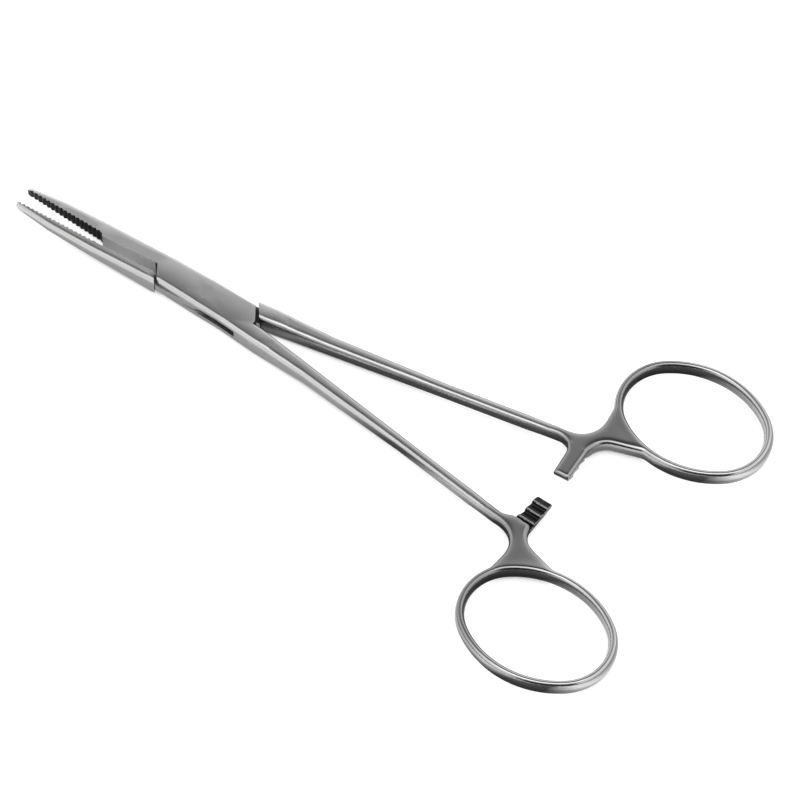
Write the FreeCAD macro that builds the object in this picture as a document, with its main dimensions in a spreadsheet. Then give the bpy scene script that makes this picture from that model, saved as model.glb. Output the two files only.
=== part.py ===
import FreeCAD, Part

import os

import Sketcher

# Hemostat forceps in three pieces. box_half carries one jaw, the slotted box lock, one shank
# and one finger ring. insert_half passes through the slot, and crosses from its own jaw to the
# other ring. pivot_pin is the flush rivet that both halves turn on.
#
# Frame of the part: the origin is on the rivet's axis at the underside of the lock, +X runs to
# the finger rings, +Y to the ring of insert_half, +Z up. Each half is drawn closed, with its
# own middle plane as the drawing plane, and its Placement then opens it by half the rest angle.

doc = FreeCAD.newDocument("hemostat_forceps")
sheet = doc.addObject("Spreadsheet::Sheet", "Sizes")

# Driving sizes in millimetres and degrees. Stations are distances from the pivot.
SIZES = [
    ("rest_opening", 4.3, "angle between the halves as they lie"),
    ("lock_width", 6.2, "box lock across the instrument"),
    ("lock_thickness", 4.2, "box lock from underside to top"),
    ("edge_round", 0.85, "rounding of the long edges of jaw, lock and shank"),
    ("lock_grind", 0.12, "material ground off the lock, both flats together"),
    ("shoulder_inner", 10.75, "shoulder station on the centre line"),
    ("shoulder_outer", 8.6, "shoulder station at the lock's side"),
    ("shoulder_gap", 0.35, "air between the two halves at each shoulder, closed"),
    ("slot_height", 1.5, "height of the slot through the lock"),
    ("slot_end", 8.5, "station where the slot ends on its closed side"),
    ("slot_corner_gap", 0.15, "how far the slot's inner corners lie behind the shoulders"),
    ("tongue_clearance", 0.05, "air above and below the tongue in the slot"),
    ("tongue_waist", 1.0, "how far the tongue keeps its full width past the pivot"),
    ("tongue_width", 5.5, "tongue across the instrument"),
    ("tongue_setback", 0.8, "tongue's inner corner off the centre line"),
    ("pin_diameter", 2.4, "rivet"),
    ("pin_clearance", 0.05, "radial air between rivet and tongue"),
    ("jaw_length", 40.0, "pivot to jaw tip"),
    ("tip_width", 1.9, "both jaws together at the tip"),
    ("tip_thickness", 1.9, "jaw at the tip"),
    ("tip_round", 0.6, "length over which the jaw's end is rounded"),
    ("jaw_fore_station", 32.5, "jaw section behind the tip"),
    ("jaw_fore_width", 3.7, "both jaws together there"),
    ("jaw_fore_thickness", 2.4, "jaw there"),
    ("jaw_mid_station", 23.5, "jaw section at the end of the serrations"),
    ("jaw_mid_width", 4.8, "both jaws together there"),
    ("jaw_mid_thickness", 2.95, "jaw there"),
    ("jaw_root_station", 8.5, "jaw section at the lock"),
    ("jaw_root_width", 5.8, "both jaws together there"),
    ("jaw_root_thickness", 4.1, "jaw there"),
    ("jaw_gap", 0.05, "air between the jaws where they meet, closed"),
    ("serration_station", 22.6, "station where the serrations end"),
    ("serration_pitch", 0.95, "spacing of the serrations"),
    ("serration_depth", 0.25, "depth of the serrations"),
    ("serration_count", 17, "serrations on each jaw"),
    ("box_face_relief", -0.2, "set-back of the serrated face at its heel, box half"),
    ("insert_face_relief", 0.65, "set-back of the serrated face at its heel, insert half"),
    ("heel_cross", 0.75, "how far the smooth face of the box half crosses the centre line"),
    ("heel_run", 0.4, "length of the step between serrated and smooth face"),
    ("insert_root_relief", 1.0, "set-back of the insert half's smooth face at the lock"),
    ("shank_hide_station", 2.0, "first shank section, inside the lock"),
    ("shank_hide_offset", 1.4, "shank centre there"),
    ("shank_hide_width", 3.1, "shank there"),
    ("shank_root_station", 13.0, "shank section behind the lock"),
    ("shank_root_offset", 2.0, "shank centre there"),
    ("shank_root_width", 3.3, "shank there"),
    ("shank_root_thickness", 4.25, "shank there"),
    ("shank_neck_station", 24.0, "shank section past the lock"),
    ("shank_neck_offset", 2.75, "shank centre there"),
    ("shank_neck_width", 2.6, "shank there"),
    ("shank_neck_thickness", 3.4, "shank there"),
    ("shank_mid_station", 46.0, "shank section half way to the ring"),
    ("shank_mid_offset", 5.05, "shank centre there"),
    ("shank_end_station", 68.0, "last shank section, at the ring web"),
    ("shank_end_offset", 7.65, "shank centre there"),
    ("shank_width", 2.0, "shank over its outer half"),
    ("shank_thickness", 2.9, "shank over its outer half"),
    ("ring_station", 86.2, "ring centre along the instrument"),
    ("ring_offset", 22.0, "ring centre off the centre line"),
    ("ring_opening_length", 25.7, "ring opening along the instrument"),
    ("ring_opening_width", 19.1, "ring opening across the instrument"),
    ("ring_end_radius", 7.9, "radius of the opening at its two ends"),
    ("ring_bar_width", 1.8, "ring section in plan"),
    ("ring_bar_thickness", 3.4, "ring section in height"),
    ("ring_toe_in", 2.15, "turn of the ring's long axis towards the centre line"),
    ("web_thickness", 3.1, "web between shank, ring and ratchet"),
    ("web_edge_round", 0.8, "rounding of the web's edges"),
    ("web_lap", 2.0, "how far the web runs back along the shank"),
    ("web_neck_station", 73.8, "hollow corner between shank and ring"),
    ("web_outer_round", 4.7, "radius of the hollow corner between shank and ring"),
    ("web_inner_round", 2.7, "radius of the hollow corner between shank and ratchet"),
    ("web_ring_round", 4.0, "radius of the hollow corner between ratchet and ring"),
    ("ratchet_station", 72.4, "middle of the ratchet arm"),
    ("ratchet_width", 3.4, "ratchet arm along the instrument"),
    ("ratchet_taper", 0.3, "how much narrower an arm is at its end"),
    ("ratchet_overlap", 0.3, "how far an arm's end passes the centre line, closed"),
    ("ratchet_root", 6.3, "where the teeth stop at the web, off the centre line"),
    ("ratchet_pitch", 1.95, "tooth spacing"),
    ("ratchet_depth", 0.85, "tooth depth"),
    ("ratchet_undercut", 0.2, "run of a tooth's steep side"),
    ("ratchet_count", 3, "teeth on each arm"),
    ("cut_reach", 7.0, "how far cutting outlines run past the material"),
]
for row, (alias, number, note) in enumerate(SIZES, start=1):
    sheet.set(f"A{row}", alias)
    sheet.set(f"B{row}", str(number))
    sheet.set(f"C{row}", note)
    sheet.setAlias(f"B{row}", alias)
doc.recompute()


def value(text):
    """The number that a sheet expression gives."""
    found = sheet.evalExpression(text)
    return float(getattr(found, "Value", found))


def sized(text):
    """Puts the sheet's name before each alias in an expression."""
    for alias, _, _ in sorted(SIZES, key=lambda entry: -len(entry[0])):
        text = text.replace("$" + alias, "Sizes." + alias)
    return text


def new_body(label):
    body = doc.addObject("PartDesign::Body", label)
    body.Label = label
    return body


def new_sketch(body, name, plane, offset=()):
    """A sketch on one of the body's own origin planes, with its offset bound to the sheet."""
    sketch = body.newObject("Sketcher::SketchObject", name)
    support = next(item for item in body.Origin.OriginFeatures if item.Role == plane)
    sketch.AttachmentSupport = [(support, "")]
    sketch.MapMode = "FlatFace"
    for axis, text in offset:
        if axis == "Angle":
            turn = sketch.AttachmentOffset
            turn.Rotation = FreeCAD.Rotation(FreeCAD.Vector(0, 0, 1), 1.0)
            sketch.AttachmentOffset = turn
            sketch.setExpression("AttachmentOffset.Rotation.Angle", sized(text))
        else:
            sketch.setExpression("AttachmentOffset.Base." + axis, sized(text))
    return sketch


def bind(sketch, kind, text, *places):
    """A dimension of a sketch, bound to a sheet expression."""
    text = sized(text)
    index = sketch.addConstraint(Sketcher.Constraint(kind, *places, value(text)))
    sketch.setExpression(f"Constraints[{index}]", text)


def outline(body, name, plane, corners, offset=()):
    """A closed outline of straight edges, each corner bound to the sheet."""
    sketch = new_sketch(body, name, plane, offset)
    points = [FreeCAD.Vector(value(sized(x)), value(sized(y)), 0) for x, y in corners]
    for index, point in enumerate(points):
        sketch.addGeometry(Part.LineSegment(point, points[(index + 1) % len(points)]))
    for index in range(len(points)):
        following = (index + 1) % len(points)
        sketch.addConstraint(Sketcher.Constraint("Coincident", index, 2, following, 1))
    for index, (x, y) in enumerate(corners):
        bind(sketch, "DistanceX", x, -1, 1, index, 1)
        bind(sketch, "DistanceY", y, -1, 1, index, 1)
    return sketch


def section(body, name, station, low, high, half_height):
    """A rectangle across the instrument at a station, low to high in Y. Three chords round each corner."""
    round_off = f"min($edge_round; 0.92 * ({high} - ({low})) / 2; 0.92 * ({half_height}))"
    quarters = [
        (f"{high} - {round_off}", f"{half_height} - {round_off}"),
        (f"{low} + {round_off}", f"{half_height} - {round_off}"),
        (f"{low} + {round_off}", f"{round_off} - {half_height}"),
        (f"{high} - {round_off}", f"{round_off} - {half_height}"),
    ]
    corners = []
    for number, (centre_y, centre_z) in enumerate(quarters):
        for step in range(4):
            angle = 90 * number + 30 * step
            across = f"{centre_y} + {round_off} * cos({angle}deg)"
            up = f"{centre_z} + {round_off} * sin({angle}deg)"
            corners.append((across, up))
    return outline(body, name, "YZ_Plane", corners, [("z", station)])


def loft(body, name, sections):
    feature = body.newObject("PartDesign::AdditiveLoft", name)
    feature.Profile = sections[0]
    feature.Sections = sections[1:]
    feature.Ruled = True


def pad(body, name, sketch, length):
    feature = body.newObject("PartDesign::Pad", name)
    feature.Profile = sketch
    feature.SideType = "Symmetric"
    feature.setExpression("Length", sized(length))
    return feature


def pocket(body, name, sketch, length):
    """Cuts the outline away to both sides of its plane."""
    feature = body.newObject("PartDesign::Pocket", name)
    feature.Profile = sketch
    feature.SideType = "Symmetric"
    feature.setExpression("Length", sized(length))
    return feature


def closed_bar(body, rear):
    """The outer form of both jaws and the lock when closed, from the tips to the rear station."""
    rough = "($lock_thickness + $lock_grind) / 2"
    stations = [
        ("end", "-$jaw_length", "$tip_width - $tip_round", "($tip_thickness - $tip_round) / 2"),
        ("tip", "-$jaw_length + $tip_round", "$tip_width", "$tip_thickness / 2"),
        ("fore", "-$jaw_fore_station", "$jaw_fore_width", "$jaw_fore_thickness / 2"),
        ("mid", "-$jaw_mid_station", "$jaw_mid_width", "$jaw_mid_thickness / 2"),
        ("root", "-$jaw_root_station", "$jaw_root_width", "$jaw_root_thickness / 2"),
        ("pivot", "0", "$lock_width", rough),
        ("rear", rear, "$lock_width", rough),
    ]
    drawn = []
    for word, station, width, half_height in stations:
        name = f"{body.Name}_jaw_{word}"
        drawn.append(section(body, name, station, f"-({width}) / 2", f"({width}) / 2", f"({half_height})"))
    loft(body, body.Name + "_jaw_bar", drawn)


def grind(body):
    """Takes the lock's top and underside down to two flats."""
    for word, side in (("top", "1"), ("under", "-1")):
        corners = [
            ("-0.3 * $jaw_length", f"{side} * $lock_thickness / 2"),
            ("0.5 * $jaw_length", f"{side} * $lock_thickness / 2"),
            ("0.5 * $jaw_length", f"{side} * $cut_reach"),
            ("-0.3 * $jaw_length", f"{side} * $cut_reach"),
        ]
        sketch = outline(body, f"{body.Name}_{word}_flat", "XZ_Plane", corners)
        pocket(body, f"{body.Name}_{word}_grind", sketch, "2 * $cut_reach")


def shank(body, side):
    """The shank, from inside the lock to the web at the ring. side is 1 towards +Y."""
    stations = [
        ("hide", "$shank_hide_station", "$shank_hide_offset", "$shank_hide_width", "$shank_root_thickness"),
        ("root", "$shank_root_station", "$shank_root_offset", "$shank_root_width", "$shank_root_thickness"),
        ("neck", "$shank_neck_station", "$shank_neck_offset", "$shank_neck_width", "$shank_neck_thickness"),
        ("mid", "$shank_mid_station", "$shank_mid_offset", "$shank_width", "$shank_thickness"),
        ("end", "$shank_end_station", "$shank_end_offset", "$shank_width", "$shank_thickness"),
    ]
    drawn = []
    for word, station, offset, width, height in stations:
        low = f"({side}) * {offset} - {width} / 2"
        high = f"({side}) * {offset} + {width} / 2"
        name = f"{body.Name}_shank_{word}"
        drawn.append(section(body, name, station, low, high, f"{height} / 2"))
    loft(body, body.Name + "_shank_bar", drawn)


def edges(shape, wanted):
    """Names of the edges that a test on the edge accepts."""
    return [f"Edge{number}" for number, edge in enumerate(shape.Edges, start=1) if wanted(edge)]


def fillet(body, name, base, names, radius):
    feature = body.newObject("PartDesign::Fillet", name)
    feature.Base = (base, names)
    feature.setExpression("Radius", sized(radius))
    doc.recompute()
    return feature


SHANK_SLOPE = "($shank_end_offset - $shank_mid_offset) / ($shank_end_station - $shank_mid_station)"


def on_ring(angle, across):
    """A point in the bar of the +Y ring. The angle runs from the ring's front end towards the centre
    line, and across is 0 at the opening and 1 at the bar's outer side."""
    long_half = f"($ring_opening_length / 2 + {across} * $ring_bar_width) * cos({angle}deg)"
    wide_half = f"($ring_opening_width / 2 + {across} * $ring_bar_width) * sin({angle}deg)"
    cosine = "cos($ring_toe_in * 1deg)"
    sine = "sin($ring_toe_in * 1deg)"
    x = f"$ring_station - {long_half} * {cosine} - {wide_half} * {sine}"
    y = f"$ring_offset + {long_half} * {sine} - {wide_half} * {cosine}"
    return x, y


def web(body, side):
    """The web that joins shank, ratchet arm and ring, with hollow corners and rounded edges."""
    left = "$ratchet_station - $ratchet_width / 2"
    right = "$ratchet_station + $ratchet_width / 2"
    start = "$shank_end_station - $web_lap"
    start_offset = f"$shank_end_offset - $web_lap * {SHANK_SLOPE}"
    flank = "0.42 * $shank_width"
    ring_low = "$ring_offset - $ring_opening_width / 2 - $ring_bar_width"
    neck_offset = f"$shank_end_offset + ($web_neck_station - $shank_end_station) * {SHANK_SLOPE}"
    along_ring = [on_ring(angle, "0.5") for angle in (17, 30, 43, 56, 69, 76)]
    corners = [
        (start, f"{start_offset} + {flank}"),
        ("$web_neck_station", f"{neck_offset} + {flank}"),
        *along_ring,
        on_ring(76, "0.95"),
        (right, f"{ring_low} - $ring_bar_width * 0.85"),
        (right, "-$ratchet_overlap"),
        (f"{left} + $ratchet_taper", "-$ratchet_overlap"),
        (left, f"$shank_end_offset + ({left} - $shank_end_station) * {SHANK_SLOPE} - {flank}"),
        (start, f"{start_offset} - {flank}"),
    ]
    drawn = [(x, f"({side}) * ({y})") for x, y in corners]
    sketch = outline(body, body.Name + "_web_outline", "XY_Plane", drawn)
    plate = pad(body, body.Name + "_web_plate", sketch, "$web_thickness")
    doc.recompute()
    rounds = [(1, "$web_outer_round"), (-5, "$web_ring_round"), (-2, "$web_inner_round")]
    base = plate
    for index, radius in rounds:
        x = value(sized(corners[index][0]))
        y = side * value(sized(corners[index][1]))
        upright = edges(
            base.Shape,
            lambda edge: edge.BoundBox.DiagonalLength > 1
            and abs(edge.CenterOfMass.x - x) < 0.01
            and abs(edge.CenterOfMass.y - y) < 0.01,
        )
        base = fillet(body, f"{body.Name}_web_corner_{index % len(corners)}", base, upright, radius)
    start_x = value(sized(start))
    half = value("Sizes.web_thickness") / 2
    hidden = along_ring + [on_ring(76, "0.95")]
    middles = [
        (value(sized(f"({x1} + {x2}) / 2")), side * value(sized(f"({y1} + {y2}) / 2")))
        for (x1, y1), (x2, y2) in zip(hidden, hidden[1:])
    ]

    def rim(edge):
        centre = edge.CenterOfMass
        flat = abs(abs(centre.z) - half) < 0.01
        end = abs(centre.x - start_x) < 0.01
        in_ring = any(abs(centre.x - x) < 0.01 and abs(centre.y - y) < 0.01 for x, y in middles)
        return flat and not end and not in_ring

    fillet(body, body.Name + "_web_edges", base, edges(base.Shape, rim), "$web_edge_round")


def ring(body, side):
    """The finger ring: a bar with an oval section of twelve chords, on a path of arcs with two radii."""
    turn = f"({-side}) * $ring_toe_in"
    place = [("x", "$ring_station"), ("y", f"({side}) * $ring_offset"), ("Angle", turn)]
    path = new_sketch(body, body.Name + "_ring_path", "XY_Plane", place)
    half_length = "($ring_opening_length + $ring_bar_width) / 2"
    half_width = "($ring_opening_width + $ring_bar_width) / 2"
    small = "($ring_end_radius + $ring_bar_width / 2)"
    squares = f"({half_length})^2 + ({half_width})^2"
    large = f"(({squares} - 2 * {half_length} * {small}) / (2 * ({half_width} - {small})))"
    joint_x = f"({half_length} - {small}) * {large} / ({large} - {small})"
    joint_y = f"({large} - {half_width}) * {small} / ({large} - {small})"
    joints = [
        (half_length, "0"),
        (joint_x, joint_y),
        (f"-{joint_x}", joint_y),
        (f"-{joint_x}", f"-{joint_y}"),
        (joint_x, f"-{joint_y}"),
    ]
    crowns = [
        (f"{half_length} - {small} * (1 - cos(20deg))", f"{small} * sin(20deg)"),
        ("0", half_width),
        (f"-({half_length})", "0"),
        ("0", f"-({half_width})"),
        (f"{half_length} - {small} * (1 - cos(20deg))", f"-{small} * sin(20deg)"),
    ]

    def point(pair):
        return FreeCAD.Vector(value(sized(pair[0])), value(sized(pair[1])), 0)

    for index, crown in enumerate(crowns):
        following = joints[(index + 1) % len(joints)]
        path.addGeometry(Part.Arc(point(joints[index]), point(crown), point(following)))
    for index in range(len(joints)):
        path.addConstraint(Sketcher.Constraint("Coincident", index, 2, (index + 1) % len(joints), 1))
    for index, (x, y) in enumerate(joints):
        bind(path, "DistanceX", x, -1, 1, index, 1)
        bind(path, "DistanceY", y, -1, 1, index, 1)
        bind(path, "Radius", large if index in (1, 3) else small, index)
    slim = "($ring_bar_width / 2)"
    tall = "($ring_bar_thickness / 2)"
    corners = []
    for angle in range(0, 360, 30):
        reach = f"sqrt(({slim} * cos({angle}deg))^2 + ({tall} * sin({angle}deg))^2)"
        across = f"{slim}^2 * cos({angle}deg) / {reach}"
        up = f"{tall}^2 * sin({angle}deg) / {reach}"
        corners.append((across, up))
    bar = outline(body, body.Name + "_ring_section", "XZ_Plane", corners)
    spin = bar.AttachmentOffset
    spin.Rotation = FreeCAD.Rotation(FreeCAD.Vector(0, 1, 0), 1.0)
    bar.AttachmentOffset = spin
    bar.setExpression("AttachmentOffset.Rotation.Angle", sized(turn))
    end_x = f"$ring_station + ({half_length}) * cos($ring_toe_in * 1deg)"
    end_y = f"({side}) * ($ring_offset - ({half_length}) * sin($ring_toe_in * 1deg))"
    bar.setExpression("AttachmentOffset.Base.x", sized(end_x))
    bar.setExpression("AttachmentOffset.Base.z", sized(f"-({end_y})"))
    feature = body.newObject("PartDesign::AdditivePipe", body.Name + "_ring_bar")
    feature.Profile = bar
    feature.Spine = (path, [f"Edge{number}" for number in range(1, len(joints) + 1)])


# How the shoulders slant, and how far that takes them over the reach of the cuts.
SHOULDER_SLOPE = "($shoulder_inner - $shoulder_outer) * 2 / $lock_width"
SHOULDER_RUN = f"$cut_reach * {SHOULDER_SLOPE}"


FAR = "-$jaw_length - $cut_reach"


def jaw_face(heel_relief, heel_face, root_x, root_face):
    """The line of a jaw's inner face from past the tip to the lock, for the jaw on the +Y side."""
    slope = f"(({heel_relief}) - $jaw_gap / 2) / ($jaw_length - $serration_station)"
    return [
        (FAR, f"$jaw_gap / 2 - $cut_reach * {slope}"),
        ("-$serration_station - $heel_run", heel_relief),
        ("-$serration_station", heel_face),
        (root_x, root_face),
    ]


def teeth(body, side):
    """Cuts one arm down to its saw teeth. The steep sides face the arm's own web."""
    count = int(value("Sizes.ratchet_count"))
    low = "-$ratchet_depth / 2"
    high = "$ratchet_depth / 2"
    points = [("-$cut_reach", low)]
    for tooth in range(count):
        points.append((f"{tooth} * $ratchet_pitch", low))
        points.append((f"{tooth + 1} * $ratchet_pitch - $ratchet_undercut", high))
    points.append((f"{count} * $ratchet_pitch", low))
    points.append(("$ratchet_root + $ratchet_overlap", low))
    points.append(("$ratchet_root + $ratchet_overlap", "$cut_reach"))
    points.append(("-$cut_reach", "$cut_reach"))
    corners = [(f"({side}) * ({run} - $ratchet_overlap)", f"({-side}) * ({rise})") for run, rise in points]
    sketch = outline(body, body.Name + "_ratchet_teeth", "YZ_Plane", corners, [("z", "$ratchet_station")])
    pocket(body, body.Name + "_ratchet_cut", sketch, "$ratchet_width * 2")


def serrations(body, side, heel_relief):
    """Straight grooves across the outer part of the jaw's inner face."""
    jaw = -side
    slope = f"atan((({heel_relief}) - $jaw_gap / 2) / ($jaw_length - $serration_station))"
    sketch = outline(
        body,
        body.Name + "_serration_groove",
        "XY_Plane",
        [
            ("-0.68 * $serration_pitch", f"({jaw}) * (-0.5 * $serration_depth)"),
            ("0.68 * $serration_pitch", f"({jaw}) * (-0.5 * $serration_depth)"),
            ("0", f"({jaw}) * $serration_depth"),
        ],
        [
            ("x", "-$serration_station - $heel_run - 0.75 * $serration_pitch"),
            ("y", f"({jaw}) * ({heel_relief})"),
            ("Angle", f"({jaw}) * {slope}"),
        ],
    )
    groove = pocket(body, body.Name + "_serration", sketch, "$lock_thickness")
    doc.recompute()
    row = body.newObject("PartDesign::LinearPattern", body.Name + "_serration_row")
    row.Originals = [groove]
    row.Direction = (sketch, ["H_Axis"])
    row.Reversed = True
    row.setExpression("Occurrences", "Sizes.serration_count")
    row.setExpression("Length", "(Sizes.serration_count - 1) * Sizes.serration_pitch")
    body.Tip = row


def bore(body, diameter):
    sketch = new_sketch(body, body.Name + "_bore_circle", "XY_Plane")
    sketch.addGeometry(Part.Circle(FreeCAD.Vector(0, 0, 0), FreeCAD.Vector(0, 0, 1), value(sized(diameter)) / 2))
    sketch.addConstraint(Sketcher.Constraint("Coincident", 0, 3, -1, 1))
    bind(sketch, "Diameter", diameter, 0)
    pocket(body, body.Name + "_bore", sketch, "2 * $lock_thickness")


def common_form(body, side, rear):
    web(body, side)
    shank(body, side)
    closed_bar(body, rear)
    ring(body, side)
    grind(body)
    doc.recompute()


def open_by_half(body, side):
    """Lifts the half onto its underside and turns it to its rest angle."""
    body.Placement = FreeCAD.Placement(
        FreeCAD.Vector(0, 0, 1), FreeCAD.Rotation(FreeCAD.Vector(0, 0, 1), side * 1.0)
    )
    body.setExpression("Placement.Base.z", "Sizes.lock_thickness / 2")
    body.setExpression("Placement.Rotation.Angle", f"({side}) * Sizes.rest_opening / 2")


def box_half():
    body = new_body("box_half")
    common_form(body, -1, "$shoulder_inner")
    reach = "$cut_reach"
    side_x = f"$shoulder_inner - {SHOULDER_RUN}"
    face = jaw_face("$box_face_relief", "-$heel_cross", "-$shoulder_inner", "0")
    front = outline(
        body,
        "box_front_opening",
        "XY_Plane",
        face + [(f"-({side_x})", f"-{reach}"), (FAR, f"-{reach}")],
    )
    pocket(body, "box_front_cut", front, "3 * $lock_thickness")
    rear = outline(
        body,
        "box_rear_opening",
        "XY_Plane",
        [
            ("$shoulder_inner", "0"),
            (f"{side_x}", reach),
            (f"$shoulder_inner + {reach}", reach),
            (f"$shoulder_inner + {reach}", "0"),
        ],
    )
    pocket(body, "box_rear_cut", rear, "3 * $lock_thickness")
    corner_x = "$shoulder_inner + $slot_corner_gap"
    slot = outline(
        body,
        "box_slot_outline",
        "XY_Plane",
        [
            ("$slot_end", f"-{reach}"),
            ("$slot_end", "-$lock_width / 2"),
            (corner_x, "0"),
            (corner_x, reach),
            ("-$slot_end", reach),
            ("-$slot_end", "$lock_width / 2"),
            (f"-({corner_x})", "0"),
            (f"-({corner_x})", f"-{reach}"),
        ],
    )
    pocket(body, "box_slot", slot, "$slot_height")
    bore(body, "$pin_diameter")
    teeth(body, -1)
    serrations(body, -1, "$box_face_relief")
    open_by_half(body, -1)
    return body


def insert_half():
    body = new_body("insert_half")
    common_form(body, 1, "$shoulder_outer / 2")
    reach = "$cut_reach"
    inside = "$shoulder_inner + $shoulder_gap"
    side_x = f"{inside} - {SHOULDER_RUN}"
    root_x = f"-({inside} - $insert_root_relief * {SHOULDER_SLOPE})"
    face = jaw_face("$insert_face_relief", "$heel_cross + $jaw_gap", root_x, "$insert_root_relief")
    front = outline(
        body,
        "insert_face_opening",
        "XY_Plane",
        [(x, f"-({y})") for x, y in face] + [(root_x, reach), (FAR, reach)],
    )
    pocket(body, "insert_face_cut", front, "3 * $lock_thickness")
    clear = outline(
        body,
        "insert_lock_opening",
        "XY_Plane",
        [
            (f"-({side_x})", f"-{reach}"),
            (f"-({inside})", "0"),
            (f"-({inside})", reach),
            (side_x, reach),
            (inside, "0"),
            (inside, f"-{reach}"),
        ],
    )
    pocket(body, "insert_lock_cut", clear, "3 * $lock_thickness")
    half = "$tongue_width / 2"
    root = "$shoulder_outer + $shoulder_gap + 0.3"
    end = f"{inside} + 1.4"
    tongue = [
        (f"-({end})", "-$insert_root_relief - 0.1"),
        (f"-({end})", f"-0.85 * {half}"),
        (f"-({root})", f"-{half}"),
        ("-$tongue_waist", f"-{half}"),
        ("$shoulder_inner - $slot_corner_gap", "$tongue_setback"),
        (end, "$insert_root_relief + 0.1"),
        (end, f"0.85 * {half}"),
        (root, half),
        ("$tongue_waist", half),
        ("-$shoulder_inner + $slot_corner_gap", "-$tongue_setback"),
    ]
    plate = outline(body, "insert_tongue_outline", "XY_Plane", tongue)
    pad(body, "insert_tongue", plate, "$slot_height - 2 * $tongue_clearance")
    bore(body, "$pin_diameter + 2 * $pin_clearance")
    teeth(body, 1)
    serrations(body, 1, "$insert_face_relief")
    open_by_half(body, 1)
    return body


def pivot_pin():
    body = new_body("pivot_pin")
    sketch = new_sketch(body, "pivot_pin_circle", "XY_Plane")
    sketch.addGeometry(Part.Circle(FreeCAD.Vector(0, 0, 0), FreeCAD.Vector(0, 0, 1), 1))
    sketch.addConstraint(Sketcher.Constraint("Coincident", 0, 3, -1, 1))
    bind(sketch, "Diameter", "$pin_diameter", 0)
    feature = body.newObject("PartDesign::Pad", "pivot_pin_rod")
    feature.Profile = sketch
    feature.setExpression("Length", "Sizes.lock_thickness")
    return body


def check_and_write(nodes):
    """Stops on any failed object, then writes each piece."""
    doc.recompute()
    for item in doc.Objects:
        if "Invalid" in item.State or "Error" in item.State:
            raise RuntimeError(f"{item.Name} failed: {item.State}")
    os.makedirs("parts", exist_ok=True)
    for node in nodes:
        shape = node.Shape
        if shape.isNull() or not shape.isValid():
            raise RuntimeError(f"{node.Label} has no valid shape")
        shape.exportStep(f"parts/{node.Label}.step")
        box = shape.BoundBox
        print(
            f"{node.Label}: {len(shape.Solids)} solid, {shape.Volume:.1f} mm3,",
            f"x {box.XMin:.2f} {box.XMax:.2f} y {box.YMin:.2f} {box.YMax:.2f} z {box.ZMin:.2f} {box.ZMax:.2f}",
        )


check_and_write([box_half(), insert_half(), pivot_pin()])
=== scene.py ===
import math

import bmesh
import bpy
import numpy as np
from mathutils import Matrix, Vector


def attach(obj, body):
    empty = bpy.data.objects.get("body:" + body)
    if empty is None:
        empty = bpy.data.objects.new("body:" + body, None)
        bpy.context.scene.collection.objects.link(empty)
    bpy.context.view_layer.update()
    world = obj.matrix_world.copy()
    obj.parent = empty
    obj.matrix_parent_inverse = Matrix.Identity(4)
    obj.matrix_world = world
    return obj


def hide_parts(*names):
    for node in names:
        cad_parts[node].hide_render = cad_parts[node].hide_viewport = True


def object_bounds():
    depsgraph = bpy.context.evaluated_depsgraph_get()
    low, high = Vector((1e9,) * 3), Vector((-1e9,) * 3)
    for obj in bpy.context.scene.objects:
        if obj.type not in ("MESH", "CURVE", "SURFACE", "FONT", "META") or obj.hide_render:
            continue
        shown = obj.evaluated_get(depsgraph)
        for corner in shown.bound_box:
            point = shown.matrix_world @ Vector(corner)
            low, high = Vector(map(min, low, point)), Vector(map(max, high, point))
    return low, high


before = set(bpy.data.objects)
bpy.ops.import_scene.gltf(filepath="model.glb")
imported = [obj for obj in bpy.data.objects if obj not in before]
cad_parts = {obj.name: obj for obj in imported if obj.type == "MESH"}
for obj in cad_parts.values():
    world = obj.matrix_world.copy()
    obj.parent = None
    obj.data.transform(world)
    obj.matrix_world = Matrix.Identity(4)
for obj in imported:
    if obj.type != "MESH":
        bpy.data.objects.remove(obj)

bl_info = {
    "name": "Hemostat forceps",
    "version": (1, 0, 0),
    "blender": (4, 5, 0),
    "location": "View3D > Sidebar > Forceps",
    "description": "Dresses the two halves and the rivet of hemostat forceps and sets the stage",
    "category": "Object",
}

# Lengths are in metres. A half's side is the sign of Y where its ring lies. The rivet has side 0.
CAD_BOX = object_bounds()
PHOTO_AZIMUTH = math.radians(33.62)
SENSOR_MM = 36.0
CLIP_START = 0.01
CLIP_END = 50.0


# Shader maths

class Value:
    """A shader socket on which sums and products are written as Python expressions."""

    def __init__(self, tree, socket):
        self.tree = tree
        self.socket = socket

    def maths(self, operation, first, second, clamp=False):
        """The result of a Math node on two values or numbers, kept between 0 and 1 if wanted."""
        node = self.tree.nodes.new("ShaderNodeMath")
        node.operation = operation
        node.use_clamp = clamp
        join(self.tree, node.inputs[0], first)
        join(self.tree, node.inputs[1], second)
        return Value(self.tree, node.outputs[0])

    def __add__(self, other):
        return self.maths("ADD", self, other)

    def __radd__(self, other):
        return self.maths("ADD", other, self)

    def __sub__(self, other):
        return self.maths("SUBTRACT", self, other)

    def __rsub__(self, other):
        return self.maths("SUBTRACT", other, self)

    def __mul__(self, other):
        return self.maths("MULTIPLY", self, other)

    def __rmul__(self, other):
        return self.maths("MULTIPLY", other, self)

    def __truediv__(self, other):
        return self.maths("DIVIDE", self, other)

    def __rtruediv__(self, other):
        return self.maths("DIVIDE", other, self)

    def __pow__(self, other):
        return self.maths("POWER", self, other)

    def __rpow__(self, other):
        return self.maths("POWER", other, self)

    def clamped(self):
        """This value kept between 0 and 1."""
        return self.maths("ADD", self, 0.0, clamp=True)


def join(tree, slot, item):
    """Links a Value or a socket to a node's slot, or sets the slot to a plain value."""
    if isinstance(item, Value):
        item = item.socket
    if isinstance(item, bpy.types.NodeSocket):
        tree.links.new(item, slot)
    else:
        slot.default_value = item


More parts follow.
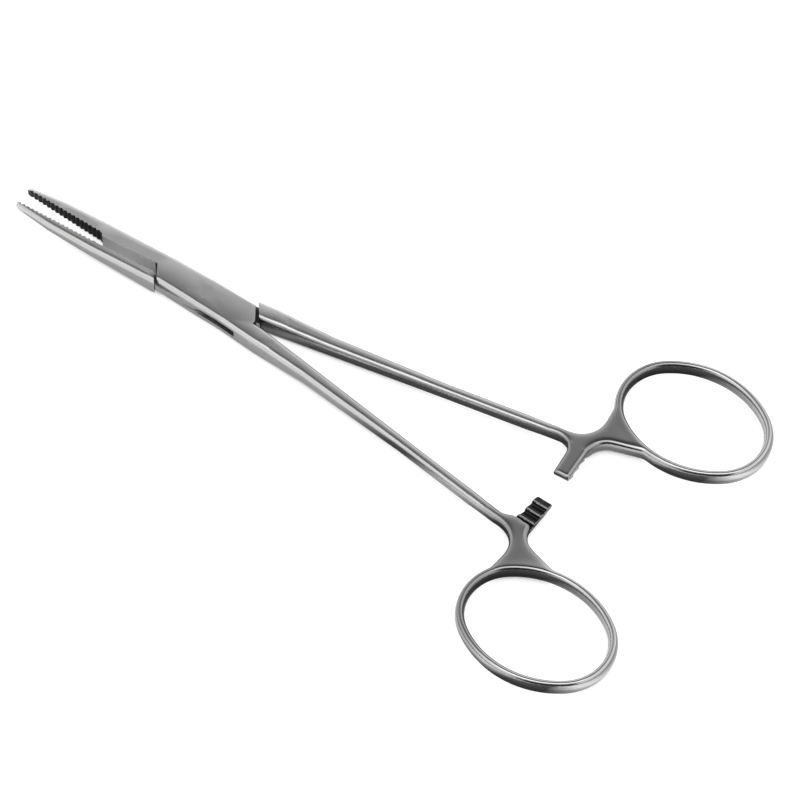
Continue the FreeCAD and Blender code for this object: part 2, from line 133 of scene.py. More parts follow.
def set_stops(elements, stops):
    """Gives a new ramp, which has two stops, the (place, grey level) stops that are wanted."""
    elements.remove(elements[1])
    for number, (place, level) in enumerate(stops):
        element = elements.new(place) if number else elements[0]
        element.position = place
        element.color = grey(level)


def slot_of(sockets, word):
    """The enabled socket of that name, or of that number where the name is like in3."""
    if word.startswith("in") and word[2:].isdigit():
        return sockets[int(word[2:])]
    for socket in sockets:
        if socket.enabled and socket.name.replace(" ", "_") == word:
            return socket
    raise KeyError(word)


class Shader:
    """Makes the nodes of one material or world."""

    def __init__(self, tree):
        self.tree = tree
        tree.nodes.clear()

    def node(self, kind, settings=None, **sockets):
        """A node of that kind: first its settings, or a ramp's stops, then its sockets by name,
        with underscores for spaces."""
        made = self.tree.nodes.new(kind)
        for word, setting in (settings or {}).items():
            if word == "stops":
                set_stops(made.color_ramp.elements, setting)
            else:
                setattr(made, word, setting)
        for word, item in sockets.items():
            join(self.tree, slot_of(made.inputs, word), item)
        return made

    def value(self, made, word=0):
        """One output of a node, ready for maths."""
        return Value(self.tree, made.outputs[word])

    def ramp(self, factor, tones):
        """A grey that goes evenly from stop to stop along a factor from 0 to 1."""
        return self.node("ShaderNodeValToRGB", {"stops": tones}, in0=factor).outputs[0]

    def blend(self, factor, first, second):
        """The colour between two colours, by a factor from 0 to 1."""
        made = self.node(
            "ShaderNodeMix", {"data_type": "RGBA"}, in0=factor, in6=first, in7=second)
        return made.outputs[2]

    def noise(self, place, scale, detail, roughness):
        """Soft noise from 0 to 1."""
        return self.value(self.node(
            "ShaderNodeTexNoise", Vector=place, Scale=scale, Detail=detail, Roughness=roughness))

    def openness(self, reach):
        """How open the surroundings are within a reach, from 0 in a crevice to 1."""
        made = self.node("ShaderNodeAmbientOcclusion", {"samples": 8}, Distance=reach)
        return self.value(made, "AO")

    def axis(self, vector, letter):
        """A vector's share along X, Y or Z."""
        return self.value(self.node("ShaderNodeSeparateXYZ", Vector=vector), letter)

    def towards(self, vector, direction):
        """A vector's share along a direction."""
        made = self.node(
            "ShaderNodeVectorMath", {"operation": "DOT_PRODUCT"}, in0=vector, in1=direction)
        return self.value(made, "Value")


# How bright the room is along the camera's azimuth, from behind the object over its top to the
# camera's side.
ROOM_TONES = (
    (0.00, 1.05), (0.09, 0.88), (0.19, 0.52), (0.25, 0.36), (0.31, 0.12), (0.42, 0.06),
    (0.50, 0.12), (0.56, 1.60), (0.74, 1.90), (0.82, 0.30), (0.88, 0.05), (1.00, 0.02),
)

# How much of a bright wall is seen from the camera's left to its right.
WALL_TONES = ((0.00, 1.00), (0.15, 0.85), (0.27, 0.00), (0.66, 0.00), (0.76, 0.90), (1.00, 1.40))

# Behind the object the room is white low down. BACK_START and BACK_SLOPE say where that starts and
# how fast it comes in, LOW_SLOPE how fast it goes with height.
BACK_START = 0.35
BACK_SLOPE = 2.0
LOW_SLOPE = 5.0

# How bright the floor is in reflections from the left to the right of each ring, as the camera sees
# it: painted light and shade that only reflections show. The dark parts are painted shade between
# and under the rings.
PAINTED_FLOOR_TONES = (
    (0.00, 0.12), (0.27, 0.12), (0.36, 0.90), (0.42, 0.85), (0.53, 0.08),
    (0.68, 0.06), (0.82, 1.00), (0.87, 1.00), (0.95, 0.35), (1.00, 0.30),
)

# Where the painted bands lie: the middle of a ring, the left end of their tones from there and
# their width, where they start along X, how much nearer the pivot that is on the far side, and how
# softly.
# SIDE_STEP is a slope so steep that it tells the far side from the near one.
RING_CENTRE = (0.0853, 0.0252)
PAINTED_BANDS_LEFT = -0.04
PAINTED_BANDS_WIDTH = 0.06
PAINTED_BANDS_START = 0.03
PAINTED_BANDS_LEAD = 0.022
PAINTED_BANDS_BLEND = 0.012
SIDE_STEP = 10000.0

# The floor's matt greys and glows: for the camera, for the camera in tight gaps under the steel,
# which are painted shade, in reflections, and for light. A gap is where the floor is less open than
# GAP_START.
PAPER_MATT, PAPER_GLOW = 0.30, 0.85
GAP_SHADE_MATT, GAP_SHADE_GLOW = 0.02, 0.03
MIRRORED_MATT, MIRRORED_GLOW = 0.85, 0.02
FLOOR_MATT = 0.8
GAP_REACH = 0.0016
GAP_START = 0.12
GAP_SLOPE = 3.0
FLOOR_GAP = 0.0001

# The steel's look: grinding lines, long along X, clouds, painted shade on sides and in crevices,
# polish.
GRAIN_SCALE = (220.0, 5200.0, 5200.0)
GRAIN_BUMP = 0.22
GRAIN_DEPTH = 0.00002
CLOUD_SCALE = 160.0
CLOUD_START = 0.35
CLOUD_SLOPE = 2.2
CLOUD_GREY = 0.9
CLOUD_WARMTH = 0.004
SIDE_SHADE_POWER = 3.0
SIDE_SHADE_GREY = 0.55
CREVICE_SLOPE = 2.1
CREVICE_ROUGHNESS = 0.15
GLOSS_SPREAD = 0.08
POLISH_BLEND = 0.01

# Each finish: its name, the size that holds its grey, how much rougher it is than the body, how
# much painted shade its sides get, and how open a crevice is where its painted shade starts. The
# grip finish is dark as painted shade; the edge and relief finishes are brighter as a painted
# highlight.
FINISHES = (
    ("satin_steel_body", "steel_grey", 0.0, 0.4, 0.28),
    ("satin_steel_grip", "grip_shade_grey", 0.2, 0.0, 0.28),
    ("satin_steel_edge", "edge_highlight_grey", -0.06, 0.3, 0.28),
    ("satin_steel_relief", "relief_highlight_grey", 0.3, 0.0, 0.10),
)
BODY, GRIP_SHADE, EDGE_HIGHLIGHT, RELIEF_HIGHLIGHT = range(len(FINISHES))


# Materials

def grey(level, warmth=0.0):
    """A grey, or one that is a little warmer."""
    return (level * (1.0 + warmth), level, level * (1.0 - warmth), 1.0)


def satin_steel(name, options, level, roughness, side_shade, crevice_start):
    """Satin stainless steel: fine lengthwise grinding lines, soft clouds, painted shade that makes
    sides darker than tops, painted shade on the web, smoother rings, and painted shade in crevices
    that are less open than crevice_start."""
    material = bpy.data.materials.new(name)
    material.use_nodes = True
    shader = Shader(material.node_tree)
    place = shader.node("ShaderNodeTexCoord").outputs["Object"]
    normal = shader.node("ShaderNodeNewGeometry").outputs["Normal"]
    stretched = shader.node("ShaderNodeMapping", Vector=place, Scale=GRAIN_SCALE).outputs[0]
    grain = shader.noise(stretched, scale=1.0, detail=4.0, roughness=0.6)
    clouds = shader.noise(place, scale=CLOUD_SCALE, detail=5.0, roughness=0.55)
    upright = shader.axis(normal, "Z")
    ringwards = shader.axis(place, "X")
    # Painted shade: the steeper a face, the darker its colour.
    side = (1.0 - upright * upright) ** SIDE_SHADE_POWER * side_shade
    # Painted shade: the web is darker towards its middle, by web_shade.
    off_web = (ringwards - options.ratchet_station) / options.web_shade_reach
    shade = (1.0 - off_web * off_web).clamped() * options.web_shade
    # Painted shade: crevices, slots and notches darken where they are less open.
    openness = shader.openness(options.crevice_reach)
    clear = ((openness - crevice_start) * CREVICE_SLOPE).clamped()
    polished = ((ringwards - options.polish_station) / POLISH_BLEND).clamped() * options.polish
    clouded = shader.blend(
        (clouds - CLOUD_START) * CLOUD_SLOPE, grey(level * CLOUD_GREY, CLOUD_WARMTH), grey(level))
    side_shaded = shader.blend(side, clouded, grey(level * SIDE_SHADE_GREY))
    shaded = shader.blend(shade, side_shaded, grey(options.painted_shade_grey))
    colour = shader.blend(clear, grey(options.painted_shade_grey), shaded)
    uneven = (clouds + grain - 1.0) * GLOSS_SPREAD
    gloss = roughness - polished + uneven + (1.0 - clear) * CREVICE_ROUGHNESS
    bump = shader.node(
        "ShaderNodeBump", Strength=GRAIN_BUMP, Distance=GRAIN_DEPTH, Height=grain).outputs[0]
    surface = shader.node(
        "ShaderNodeBsdfPrincipled", Base_Color=colour, Metallic=1.0, Roughness=gloss, Normal=bump)
    shader.node("ShaderNodeOutputMaterial", Surface=surface.outputs[0])
    return material


def finishes(options):
    """The four finishes of the steel, each with its painted shade and some with a painted
    highlight, in the order of a piece's slots. The first piece that asks makes them."""
    return [
        bpy.data.materials.get(name) or satin_steel(
            name, options, getattr(options, tone), options.gloss_roughness + rougher,
            side_shade, crevice_start)
        for name, tone, rougher, side_shade, crevice_start in FINISHES
    ]


def self_lit(shader, colour, glow_colour):
    """A matt surface with a glow of its own on top, so that shadows on it stay light."""
    matt = shader.node("ShaderNodeBsdfDiffuse", Color=colour)
    glow = shader.node("ShaderNodeEmission", Color=glow_colour, Strength=1.0)
    return shader.node("ShaderNodeAddShader", in0=matt.outputs[0], in1=glow.outputs[0]).outputs[0]


def white_ground():
    """Paper white to the camera, with painted shade in tight gaps under the steel. Painted light
    and shade round each ring, which only reflections show. A matt floor to all other light."""
    material = bpy.data.materials.new("white_ground")
    material.use_nodes = True
    shader = Shader(material.node_tree)
    # Painted shade: the floor darkens in tight gaps under the steel.
    clear = ((shader.openness(GAP_REACH) - GAP_START) * GAP_SLOPE).clamped()
    paper = self_lit(
        shader,
        shader.blend(clear, grey(GAP_SHADE_MATT), grey(PAPER_MATT)),
        shader.blend(clear, grey(GAP_SHADE_GLOW), grey(PAPER_GLOW)),
    )
    place = shader.node("ShaderNodeTexCoord").outputs["Object"]
    along, across = shader.axis(place, "X"), shader.axis(place, "Y")
    ring_x, ring_y = RING_CENTRE
    far_side = (across * SIDE_STEP).clamped()
    off_ring_x = along - ring_x
    off_ring_y = across - (far_side * 2.0 - 1.0) * ring_y
    aside = off_ring_x * math.cos(PHOTO_AZIMUTH) + off_ring_y * math.sin(PHOTO_AZIMUTH)
    # Painted light and shade round each ring, shown only to reflections.
    painted_bands = shader.ramp(((aside - PAINTED_BANDS_LEFT) / PAINTED_BANDS_WIDTH).clamped(), PAINTED_FLOOR_TONES)
    banded_share = ((along - PAINTED_BANDS_START + far_side * PAINTED_BANDS_LEAD) / PAINTED_BANDS_BLEND).clamped()
    mirror_image = self_lit(
        shader, shader.blend(banded_share, grey(MIRRORED_MATT), painted_bands), grey(MIRRORED_GLOW))
    matt = shader.node("ShaderNodeBsdfDiffuse", Color=grey(FLOOR_MATT)).outputs[0]
    path = shader.node("ShaderNodeLightPath")
    glossy = shader.value(path, "Is Glossy Ray")
    mirrored = (glossy + shader.value(path, "Is Transmission Ray")).clamped()
    unseen = shader.node("ShaderNodeMixShader", Fac=mirrored, in1=matt, in2=mirror_image)
    camera_ray = shader.value(path, "Is Camera Ray")
    both = shader.node("ShaderNodeMixShader", Fac=camera_ray, in1=unseen.outputs[0], in2=paper)
    shader.node("ShaderNodeOutputMaterial", Surface=both.outputs[0])
    return material


# Meshes

# Where the finishes are: how far off the centre line and off the middle height the jaws' faces and
# the teeth reach, and how far the normals of jaw faces, teeth and shoulders turn.
SERRATED_REACH = 0.0011
RELIEVED_REACH = 0.0016
TOOTH_REACH = 0.0007
INWARDS = 0.5
TOOTH_TURN = 0.6
TOOTH_BACK = -0.75
SHOULDER_TURN = 0.35
SHOULDER_RISE = 0.6

# How strongly a round of relaxing pulls at the shank, the web, the ring and the ratchet arm, over
# which length that changes, and how far beyond the ratchet arm its own pull reaches.
SHANK_PULL = 0.07
WEB_PULL = 0.35
RING_PULL = 0.10
RATCHET_PULL = 0.035
PULL_BLEND = 0.003
RATCHET_MARGIN = 0.0004

# Corners that are closer than this are one, and edges that are closer to a cut lie on it. How far
# in front of its station the relaxed handle begins, and half the width of the strip that joins it.
MERGE_REACH = 1e-6
CUT_REACH = 1e-7
HANDLE_LAP = 0.001
HALF_SEAM = 0.0001


def own_place(values, side, options):
    """Points or directions of a half, turned back by half the rest angle to its closed position."""
    half = -side * options.rest_opening / 2
    turn = np.array([
        [math.cos(half), -math.sin(half), 0.0],
        [math.sin(half), math.cos(half), 0.0],
        [0.0, 0.0, 1.0],
    ])
    return values.reshape(-1, 3) @ turn.T


def face_finish(mesh, side, options):
    """The slot of each face, by its middle and normal: grip, dark as painted shade, on the jaws'
    serrations, the slopes of the ratchet teeth, the lock's shoulders and its front notch, edge,
    bright as a painted highlight, on the crests of the teeth, relief, brighter as a painted
    highlight, on the jaws' inner faces behind the serrations, body elsewhere."""
    count = len(mesh.polygons)
    centre = np.empty(count * 3, dtype=np.float32)
    normal = np.empty(count * 3, dtype=np.float32)
    mesh.polygons.foreach_get("center", centre)
    mesh.polygons.foreach_get("normal", normal)
    centre = own_place(centre, side, options)
    normal = own_place(normal, side, options)
    ringwards, ringside = centre[:, 0], centre[:, 1] * side
    height = centre[:, 2] - (CAD_BOX[0][2] + CAD_BOX[1][2]) / 2
    inner = normal[:, 1] * side
    jaw = (
        (ringwards < -options.serration_station)
        & (inner > INWARDS)
        & (np.abs(ringside) < SERRATED_REACH)
    )
    teeth = (
        (np.abs(ringwards - options.ratchet_station) < options.ratchet_width / 2)
        & (np.abs(height) < TOOTH_REACH)
        & (np.abs(normal[:, 0]) < TOOTH_TURN)
        & (inner > TOOTH_BACK)
        & (ringside < options.ratchet_root)
    )
    # Relieved faces get the relief finish: rougher, and a brighter grey that is a painted
    # highlight.
    relief = (
        (ringwards > -options.serration_station)
        & (ringwards < -options.shoulder_start)
        & (inner > INWARDS)
        & (ringside > -RELIEVED_REACH)
    )
    notch = relief & (ringwards > -options.notch_start)
    shoulder = (
        (np.abs(normal[:, 0]) > SHOULDER_TURN)
        & (np.abs(normal[:, 2]) < SHOULDER_RISE)
        & (np.abs(ringwards) < options.shoulder_reach)
    )
    # Tooth crests get the edge finish: smoother polish, and a brighter grey that is a painted
    # highlight.
    crest = teeth & (-side * height > options.ratchet_crest)
    # Dark grip finish: painted shade on serrations, tooth slopes, shoulders and the front notch.
    painted_shade_faces = jaw | teeth | shoulder | notch
    slots = np.where(crest, EDGE_HIGHLIGHT, np.where(painted_shade_faces, GRIP_SHADE, np.where(relief, RELIEF_HIGHLIGHT, BODY)))
    return slots.astype(np.int32)


def merged_shape(mesh):
    """A mesh for editing, with its doubled corners merged."""
    shape = bmesh.new()
    shape.from_mesh(mesh)
    bmesh.ops.remove_doubles(shape, verts=shape.verts, dist=MERGE_REACH)
    bmesh.ops.dissolve_degenerate(shape, edges=shape.edges, dist=MERGE_REACH)
    return shape


def cut_across(shape, station, kept="both"):
    """Cuts a shape across at a station along X and keeps its front, its rear or both. Gives the
    edges of the cut."""
    cut = bmesh.ops.bisect_plane(
        shape, geom=shape.verts[:] + shape.edges[:] + shape.faces[:], dist=CUT_REACH,
        plane_co=(station, 0.0, 0.0), plane_no=(1.0, 0.0, 0.0),
        clear_inner=kept == "rear", clear_outer=kept == "front",
    )
    return [item for item in cut["geom_cut"] if isinstance(item, bmesh.types.BMEdge)]


def even_skin(context, mesh, spacing):
    """A closed mesh as an even net of small four-sided faces."""
    helper = bpy.data.objects.new("handle_helper", mesh)
    context.scene.collection.objects.link(helper)
    remesh = helper.modifiers.new("skin", "REMESH")
    remesh.mode = "VOXEL"
    remesh.voxel_size = spacing
    graph = context.evaluated_depsgraph_get()
    skin = bpy.data.meshes.new_from_object(helper.evaluated_get(graph))
    bpy.data.objects.remove(helper)
    return skin


def blended(mesh, side, options):
    """Relaxes a net: each corner moves towards the mean of its neighbours, many times over. The
    pull is strong in the web and its joints, so that the forms flow into one another, and weak on
    the shank, the ring and the teeth, so that they keep their section."""
    count = len(mesh.vertices)
    place = np.empty(count * 3, dtype=np.float32)
    mesh.vertices.foreach_get("co", place)
    place = place.reshape(-1, 3).astype(np.float64)
    ends = np.empty(len(mesh.edges) * 2, dtype=np.int32)
    mesh.edges.foreach_get("vertices", ends)
    first, second = ends.reshape(-1, 2).T
    degree = (np.bincount(first, minlength=count) + np.bincount(second, minlength=count))[:, None]
    own = own_place(place, side, options)
    rise = np.clip((own[:, 0] - options.web_start) / PULL_BLEND, 0.0, 1.0)
    fall = np.clip((options.web_end - own[:, 0]) / PULL_BLEND, 0.0, 1.0)
    pull = SHANK_PULL + WEB_PULL * rise * fall + RING_PULL * (1.0 - fall)
    off_arm = np.abs(own[:, 0] - options.ratchet_station)
    arm = (
        (off_arm < options.ratchet_width / 2 + RATCHET_MARGIN)
        & (own[:, 1] * side < options.ratchet_root)
    )
    pull = np.where(arm, RATCHET_PULL, pull)[:, None]
    for _ in range(options.blend_rounds):
        around = np.stack([
            np.bincount(first, place[second, axis], count)
            + np.bincount(second, place[first, axis], count)
            for axis in range(3)
        ], axis=1)
        place += pull * (around / degree - place)
    mesh.vertices.foreach_set("co", place.astype(np.float32).ravel())
    mesh.update()


def handle_shape(context, mesh, side, options):
    """The half behind the handle station as a blended skin, open at the station."""
    shape = merged_shape(mesh)
    rim = cut_across(shape, options.handle_station - HANDLE_LAP, "rear")
    bmesh.ops.holes_fill(shape, edges=rim, sides=0)
    bmesh.ops.triangulate(shape, faces=[face for face in shape.faces if len(face.verts) > 4])
    rear = bpy.data.meshes.new("handle")
    shape.to_mesh(rear)
    shape.free()
    skin = even_skin(context, rear, options.skin_spacing)
    bpy.data.meshes.remove(rear)
    blended(skin, side, options)
    shape = bmesh.new()
    shape.from_mesh(skin)
    cut_across(shape, options.handle_station + HALF_SEAM, "rear")
    shape.to_mesh(skin)
    shape.free()
    return skin


def from_node(context, node, side, options):
    """The node's surface as a piece: doubles merged, shaded smooth, with its sharp edges marked for
    the bevel. A half is also cut where the front notch starts, so that the notch can have its own
    finish, and gets its blended handle, joined to the front part by a narrow strip of faces."""
    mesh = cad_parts[node].data.copy()
    mesh.name = node + "_steel"
    mesh.materials.clear()
    piece = bpy.data.objects.new(mesh.name, mesh)
    context.scene.collection.objects.link(piece)
    shape = merged_shape(mesh)
    if side:
        skin = handle_shape(context, mesh, side, options)
        cut_across(shape, options.handle_station - HALF_SEAM, "front")
        cut_across(shape, -options.notch_start)
    weight = shape.edges.layers.float.new("bevel_weight_edge")
    for edge in shape.edges:
        sharp = len(edge.link_faces) == 2 and edge.calc_face_angle(0.0) > options.crease_angle
        edge.smooth = not sharp
        edge[weight] = 1.0 if sharp else 0.0
    if side:
        shape.from_mesh(skin)
        rims = [edge for edge in shape.edges if len(edge.link_faces) == 1]
        bmesh.ops.bridge_loops(shape, edges=rims)
        bpy.data.meshes.remove(skin)
    for face in shape.faces:
        face.smooth = True
        face.material_index = BODY
    shape.to_mesh(mesh)
    shape.free()
    for finish in finishes(options):
        mesh.materials.append(finish)
    if side:
        mesh.polygons.foreach_set("material_index", face_finish(mesh, side, options))
    return piece


def soften(piece, options):
    """Rounds the sharp edges with a narrow bevel, which has the polished edge finish, brighter as a
    painted highlight.
    """
    bevel = piece.modifiers.new("edges", "BEVEL")
    bevel.width = options.edge_rounding
    bevel.segments = 2
    bevel.limit_method = "WEIGHT"
    bevel.harden_normals = True
    bevel.use_clamp_overlap = True
    bevel.material = EDGE_HIGHLIGHT


def dress(context, node, body, side):
    """A steel piece in place of one CAD node, riding on the node's body."""
    options = context.scene.forceps_sizes
    piece = from_node(context, node, side, options)
    soften(piece, options)
    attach(piece, body)
    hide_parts(node)


# Sizes and colours

class ForcepsSizes(bpy.types.PropertyGroup):
    """Sizes and finish of the forged pieces."""

    edge_rounding: bpy.props.FloatProperty(
        name="Edge rounding", description="Width of the rounding on sharp edges",
        default=0.00009, min=0.0, unit="LENGTH", precision=5)
    rest_opening: bpy.props.FloatProperty(
        name="Rest opening", description="Angle between the halves as they lie",
        default=math.radians(4.3), subtype="ANGLE")
    serration_station: bpy.props.FloatProperty(
        name="Serration station", description="Distance from the pivot where the serrations end",
        default=0.0228, unit="LENGTH", precision=4)
    notch_start: bpy.props.FloatProperty(
        name="Notch start",
        description="Distance from the pivot where the lock's front notch starts",
        default=0.0112, unit="LENGTH", precision=4)
    shoulder_start: bpy.props.FloatProperty(
        name="Shoulder start",
        description="Distance from the pivot where the jaws' inner faces end",
        default=0.0100, unit="LENGTH", precision=4)
    shoulder_reach: bpy.props.FloatProperty(
        name="Shoulder reach",
        description="Distance from the pivot within which the lock's shoulders are",
        default=0.0140, unit="LENGTH", precision=4)
    ratchet_station: bpy.props.FloatProperty(
        name="Ratchet station",
        description="Distance from the pivot to the middle of the ratchet arm",
        default=0.0724, unit="LENGTH", precision=4)
    ratchet_width: bpy.props.FloatProperty(
        name="Ratchet width", description="Ratchet arm along the instrument",
        default=0.0036, unit="LENGTH", precision=4)
    ratchet_root: bpy.props.FloatProperty(
        name="Ratchet root", description="Where the teeth stop, off the centre line",
        default=0.0063, unit="LENGTH", precision=4)
    ratchet_crest: bpy.props.FloatProperty(
        name="Ratchet crest", description="Height off the middle above which a tooth is polished",
        default=0.00027, unit="LENGTH", precision=5)
    handle_station: bpy.props.FloatProperty(
        name="Handle station",
        description="Distance from the pivot where the blended handle starts",
        default=0.016, unit="LENGTH", precision=4)
    web_start: bpy.props.FloatProperty(
        name="Web start", description="Distance from the pivot where the web's soft blends start",
        default=0.062, unit="LENGTH", precision=4)
    web_end: bpy.props.FloatProperty(
        name="Web end", description="Distance from the pivot where the web's soft blends end",
        default=0.084, unit="LENGTH", precision=4)
    skin_spacing: bpy.props.FloatProperty(
        name="Skin spacing", description="Distance between the handle's mesh corners",
        default=0.00015, min=0.0001, unit="LENGTH", precision=5)
    blend_rounds: bpy.props.IntProperty(
        name="Blend rounds", description="How often the handle's mesh is relaxed",
        default=70, min=0)
    crease_angle: bpy.props.FloatProperty(
        name="Crease angle", description="Edges sharper than this are creases and get rounded",
        default=math.radians(34.0), subtype="ANGLE")
    steel_grey: bpy.props.FloatProperty(
        name="Steel grey", description="Brightness of the steel's reflections",
        default=0.66, min=0.0, max=1.0, subtype="FACTOR")
    polish: bpy.props.FloatProperty(
        name="Polish", description="How much smoother the rings are than the jaws",
        default=0.10, min=0.0, max=0.2)
    polish_station: bpy.props.FloatProperty(
        name="Polish station", description="Distance from the pivot where the polish starts",
        default=0.068, unit="LENGTH", precision=4)
    # Painted shade on the web.
    web_shade: bpy.props.FloatProperty(
        name="Web shade", description="How much darker the web is than the lock",
        default=0.45, min=0.0, max=1.0, subtype="FACTOR")
    web_shade_reach: bpy.props.FloatProperty(
        name="Web shade reach",
        description="How far the darker steel reaches to either side of the web",
        default=0.009, unit="LENGTH", precision=4)
    # Dark grey of the grip finish: painted shade.
    grip_shade_grey: bpy.props.FloatProperty(
        name="Grip grey", description="Brightness of serrations and ratchet teeth",
        default=0.05, min=0.0, max=1.0, subtype="FACTOR")
    # Bright grey of the relief finish: a painted highlight.
    relief_highlight_grey: bpy.props.FloatProperty(
        name="Relief grey", description="Brightness of the jaws' relieved faces",
        default=0.95, min=0.0, max=1.0, subtype="FACTOR")
    # Bright grey of the polished edges: partly a painted highlight.
    edge_highlight_grey: bpy.props.FloatProperty(
        name="Edge grey", description="Brightness of the polished edges",
        default=0.8, min=0.0, max=1.0, subtype="FACTOR")
    # Grey of the painted shade in crevices and on the web.
    painted_shade_grey: bpy.props.FloatProperty(
        name="Crevice grey", description="Brightness in slots, notches and teeth",
        default=0.05, min=0.0, max=1.0, subtype="FACTOR")
    crevice_reach: bpy.props.FloatProperty(
        name="Crevice reach", description="How far from a corner the darkening reaches",
        default=0.0016, min=0.0, unit="LENGTH", precision=5)
    gloss_roughness: bpy.props.FloatProperty(
        name="Gloss roughness", description="Middle roughness of the satin finish",
        default=0.26, min=0.0, max=1.0, subtype="FACTOR")


class ForcepsStage(bpy.types.PropertyGroup):
    """Camera, floor and light."""

    azimuth: bpy.props.FloatProperty(
        name="Azimuth", description="Camera's turn about the vertical",
        default=PHOTO_AZIMUTH, subtype="ANGLE")
    elevation: bpy.props.FloatProperty(
        name="Elevation", description="Camera's height angle",
        default=math.radians(55.70), subtype="ANGLE")
    distance: bpy.props.FloatProperty(
        name="Distance", description="Camera to the target",
        default=0.8585, unit="LENGTH")
    lens: bpy.props.FloatProperty(
        name="Lens", description="Focal length on a 36 mm sensor",
        default=222.28, unit="CAMERA")
    target: bpy.props.FloatVectorProperty(
        name="Target", description="Point at the middle of the picture",
        default=(0.04039, 0.00088, 0.0021), subtype="TRANSLATION")
    floor_size: bpy.props.FloatProperty(
        name="Floor size", description="Width of the floor",
        default=3.0, unit="LENGTH")
    lamp_azimuth: bpy.props.FloatProperty(
        name="Lamp azimuth", description="Lamp's turn about the vertical",
        default=math.radians(190.0), subtype="ANGLE")
    lamp_elevation: bpy.props.FloatProperty(
        name="Lamp elevation", description="Lamp's height angle",
        default=math.radians(45.0), subtype="ANGLE")
    lamp_distance: bpy.props.FloatProperty(
        name="Lamp distance", description="Lamp to the target",
        default=1.2, unit="LENGTH")
    lamp_size: bpy.props.FloatProperty(
        name="Lamp size", description="Width of the lamp's disk",
        default=0.4, min=0.0, unit="LENGTH")
    lamp_power: bpy.props.FloatProperty(
        name="Lamp power", description="Power of the lamp",
        default=13.0, min=0.0, unit="POWER")


# Operators

class FORCEPS_OT_box_half(bpy.types.Operator):
    """Make the half with the slotted lock"""
    bl_idname = "forceps.box_half"
    bl_label = "Box half"

    def execute(self, context):
        dress(context, "box_half", "box_side", -1)
        return {"FINISHED"}


class FORCEPS_OT_insert_half(bpy.types.Operator):
    """Make the half whose tongue goes through the lock"""
    bl_idname = "forceps.insert_half"
    bl_label = "Insert half"

    def execute(self, context):
        dress(context, "insert_half", "insert_side", 1)
        return {"FINISHED"}


class FORCEPS_OT_rivet(bpy.types.Operator):
    """Make the flush rivet"""
    bl_idname = "forceps.rivet"
    bl_label = "Rivet"

    def execute(self, context):
        dress(context, "pivot_pin", "box_side", 0)
        return {"FINISHED"}


class FORCEPS_OT_stage(bpy.types.Operator):
    """Set the camera, the white floor and the studio light"""
    bl_idname = "forceps.stage"
    bl_label = "Stage"

    def execute(self, context):
        settings = context.scene.forceps_stage
        add_camera(context, settings)
        add_floor(context, settings)
        add_room(context, settings)
        add_lamp(context, settings)
        return {"FINISHED"}


# Stage

def facing(azimuth, elevation):
    """The unit vector from the object towards a stand at that azimuth and elevation."""
    return Vector((
        math.sin(azimuth) * math.cos(elevation),
        -math.cos(azimuth) * math.cos(elevation),
        math.sin(elevation),
    ))


def rightwards(azimuth):
    """The unit vector to the right of a camera at that azimuth."""
    return Vector((math.cos(azimuth), math.sin(azimuth), 0.0))


def add_camera(context, settings):
    """The camera at the photo's angle and distance."""
    camera = bpy.data.objects.new("camera", bpy.data.cameras.new("camera"))
    context.scene.collection.objects.link(camera)
    camera.data.lens = settings.lens
    camera.data.sensor_width = SENSOR_MM
    camera.data.clip_start = CLIP_START
    camera.data.clip_end = CLIP_END
    back = facing(settings.azimuth, settings.elevation)
    right = rightwards(settings.azimuth)
    turn = Matrix((right, back.cross(right), back)).transposed().to_4x4()
    stand = Vector(settings.target) + back * settings.distance
    camera.matrix_world = Matrix.Translation(stand) @ turn
    context.scene.camera = camera
    context.scene.view_settings.view_transform = "Standard"


def add_floor(context, settings):
    """A square floor just under the instrument."""
    half = settings.floor_size / 2
    corners = [(-half, -half), (half, -half), (half, half), (-half, half)]
    level = CAD_BOX[0][2] - FLOOR_GAP
    mesh = bpy.data.meshes.new("floor")
    mesh.from_pydata([(x, y, level) for x, y in corners], [], [(0, 1, 2, 3)])
    mesh.materials.append(white_ground())
    floor = bpy.data.objects.new("floor", mesh)
    context.scene.collection.objects.link(floor)


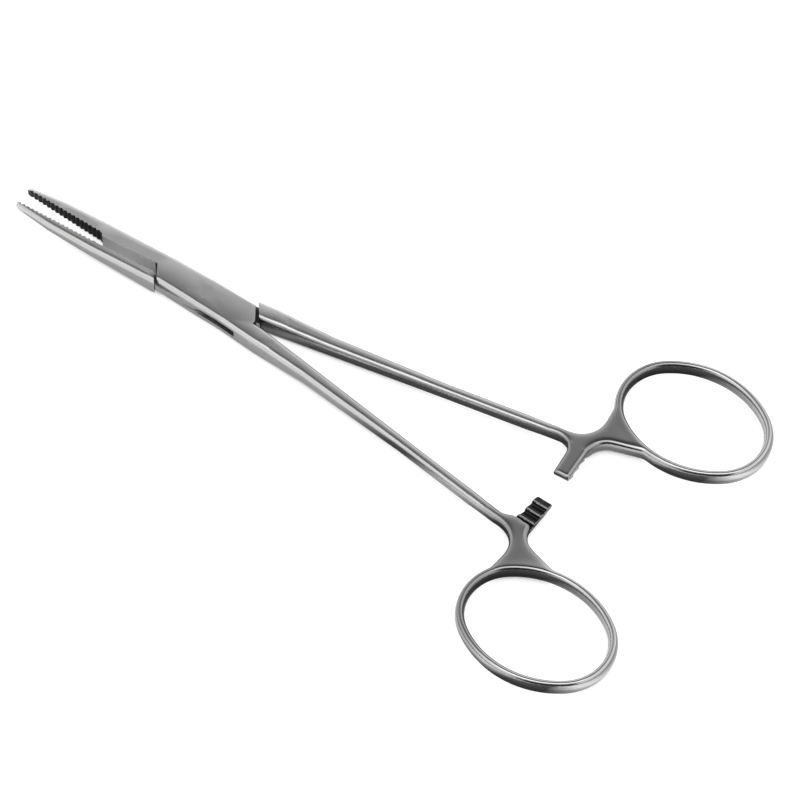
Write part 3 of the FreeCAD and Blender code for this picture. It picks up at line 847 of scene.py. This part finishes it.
def add_room(context, settings):
    """White behind the object to the camera. To all else a room with light and dark bands over the
    object, bright walls at its sides and white low down behind it."""
    world = bpy.data.worlds.new("room")
    world.use_nodes = True
    context.scene.world = world
    shader = Shader(world.node_tree)
    way = shader.node("ShaderNodeTexCoord").outputs["Generated"]
    camerawards = shader.towards(way, facing(settings.azimuth, 0.0))
    aside = shader.towards(way, rightwards(settings.azimuth))
    bands = shader.ramp((camerawards + 1.0) * 0.5, ROOM_TONES)
    walls = shader.ramp((aside + 1.0) * 0.5, WALL_TONES)
    walled = shader.blend(walls, bands, grey(1.0))
    behind = ((BACK_START - camerawards) * BACK_SLOPE).clamped()
    low = (1.0 - shader.axis(way, "Z") * LOW_SLOPE).clamped()
    room = shader.blend(behind * low, walled, grey(1.0))
    camera_ray = shader.value(shader.node("ShaderNodeLightPath"), "Is Camera Ray")
    seen = shader.blend(camera_ray, room, grey(1.0))
    light = shader.node("ShaderNodeBackground", Color=seen, Strength=1.0)
    shader.node("ShaderNodeOutputWorld", Surface=light.outputs[0])


def add_lamp(context, settings):
    """A large soft lamp up and behind, which the steel doesn't mirror."""
    lamp = bpy.data.lights.new("key_lamp", "AREA")
    lamp.shape = "DISK"
    lamp.size = settings.lamp_size
    lamp.energy = settings.lamp_power
    stand = bpy.data.objects.new("key_lamp", lamp)
    context.scene.collection.objects.link(stand)
    away = facing(settings.lamp_azimuth, settings.lamp_elevation)
    stand.location = Vector(settings.target) + away * settings.lamp_distance
    stand.rotation_euler = away.to_track_quat("Z", "Y").to_euler()
    stand.visible_glossy = False


# Panel and main

class FORCEPS_PT_panel(bpy.types.Panel):
    """The forceps' operators and sizes"""
    bl_label = "Hemostat forceps"
    bl_idname = "FORCEPS_PT_panel"
    bl_space_type = "VIEW_3D"
    bl_region_type = "UI"
    bl_category = "Forceps"

    def draw(self, context):
        for made in OPERATORS:
            self.layout.operator(made.bl_idname)
        for group in (context.scene.forceps_sizes, context.scene.forceps_stage):
            for name in group.__annotations__:
                self.layout.prop(group, name)


OPERATORS = (FORCEPS_OT_box_half, FORCEPS_OT_insert_half, FORCEPS_OT_rivet, FORCEPS_OT_stage)
CLASSES = (ForcepsSizes, ForcepsStage) + OPERATORS + (FORCEPS_PT_panel,)


def register():
    for each in CLASSES:
        bpy.utils.register_class(each)
    bpy.types.Scene.forceps_sizes = bpy.props.PointerProperty(type=ForcepsSizes)
    bpy.types.Scene.forceps_stage = bpy.props.PointerProperty(type=ForcepsStage)


def unregister():
    del bpy.types.Scene.forceps_stage
    del bpy.types.Scene.forceps_sizes
    for each in reversed(CLASSES):
        bpy.utils.unregister_class(each)


def main():
    """Registers the add-on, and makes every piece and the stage."""
    register()
    bpy.ops.forceps.box_half()
    bpy.ops.forceps.insert_half()
    bpy.ops.forceps.rivet()
    bpy.ops.forceps.stage()


if __name__ == "__main__":
    main()
